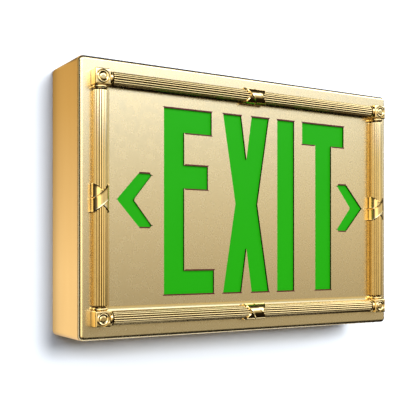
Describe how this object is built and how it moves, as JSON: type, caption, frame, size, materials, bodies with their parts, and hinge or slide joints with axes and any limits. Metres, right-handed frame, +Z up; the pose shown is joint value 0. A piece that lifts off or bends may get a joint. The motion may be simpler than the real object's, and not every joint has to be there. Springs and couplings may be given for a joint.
{
  "type": "emergency exit light",
  "caption": "Wall-mounted exit sign: brass box with a hinged stencil cover, green lit panel, reeded rod moulding with ribbon ties, battery backup and test button.",
  "frame": {"origin": "where the axis of the wiring hole meets the wall plane, at the middle of the back", "axes": "+X to the right of a person facing the sign, +Y out of the back into the wall, +Z up"},
  "size_m": [0.326, 0.0693, 0.2222],
  "materials": {
    "brass_case": "satin lacquered",
    "brass_face": "satin lacquered",
    "brass_moulding": "polished lacquered",
    "steel_fastener": "zinc plated",
    "green_acrylic": "translucent, lit from behind",
    "spring_steel": "plain",
    "board_laminate": "solder mask over glass laminate",
    "led_board_white": "white solder mask",
    "led_white": "moulded",
    "transformer_steel": "varnished laminations",
    "component_black": "moulded",
    "capacitor_sleeve": "shrink sleeve",
    "terminal_green": "moulded",
    "socket_white": "moulded",
    "battery_sleeve": "shrink sleeve",
    "ground_green": "plated and dyed",
    "switch_black": "moulded",
    "button_red": "moulded",
    "lamp_red": "translucent",
    "nickel_plate": "nickel plated"
  },
  "bodies": {
    "case": {"housing": "brass_case", "hinge_pin_upper": "nickel_plate", "hinge_pin_lower": "nickel_plate", "led_board_upper": "led_board_white", "led_board_lower": "led_board_white", "leds_upper": "led_white", "leds_lower": "led_white", "led_standoffs": "nickel_plate", "led_screws": "steel_fastener", "circuit_board": "board_laminate", "board_standoffs": "nickel_plate", "board_screws": "steel_fastener", "transformer": "transformer_steel", "relay": "component_black", "capacitors": "capacitor_sleeve", "terminal_block": "terminal_green", "battery_socket": "socket_white", "battery_pack": "battery_sleeve", "battery_strap": "spring_steel", "strap_screws": "steel_fastener", "ground_screw": "ground_green", "test_switch": "switch_black", "switch_nut": "nickel_plate", "charge_lamp": "switch_black", "lamp_bezel": "nickel_plate", "lamp_lens": "lamp_red", "canopy_plug": "brass_case"},
    "cover": {"front_cover": "brass_face", "lock_screws": "nickel_plate", "lock_nuts": "steel_fastener", "reeded_rod_top": "brass_moulding", "reeded_rod_bottom": "brass_moulding", "reeded_rod_left": "brass_moulding", "reeded_rod_right": "brass_moulding", "corner_block_top_left": "brass_moulding", "corner_block_top_right": "brass_moulding", "corner_block_bottom_left": "brass_moulding", "corner_block_bottom_right": "brass_moulding", "moulding_screws": "steel_fastener", "green_panel": "green_acrylic", "panel_clips": "spring_steel", "clip_screws": "steel_fastener"},
    "button": {"test_button": "button_red"}
  },
  "joints": [
    {"name": "cover_hinge", "type": "hinge", "parent": "case", "child": "cover", "pos_m": [0.16215, -0.0523, 0], "axis": [0, 0, 1], "range_deg": [0, 110]},
    {"name": "test_press", "type": "slide", "parent": "case", "child": "button", "axis": [-1, 0, 0], "range_m": [0, 0.002], "stiffness_N_per_m": 600, "springref_m": -0.001}
  ]
}
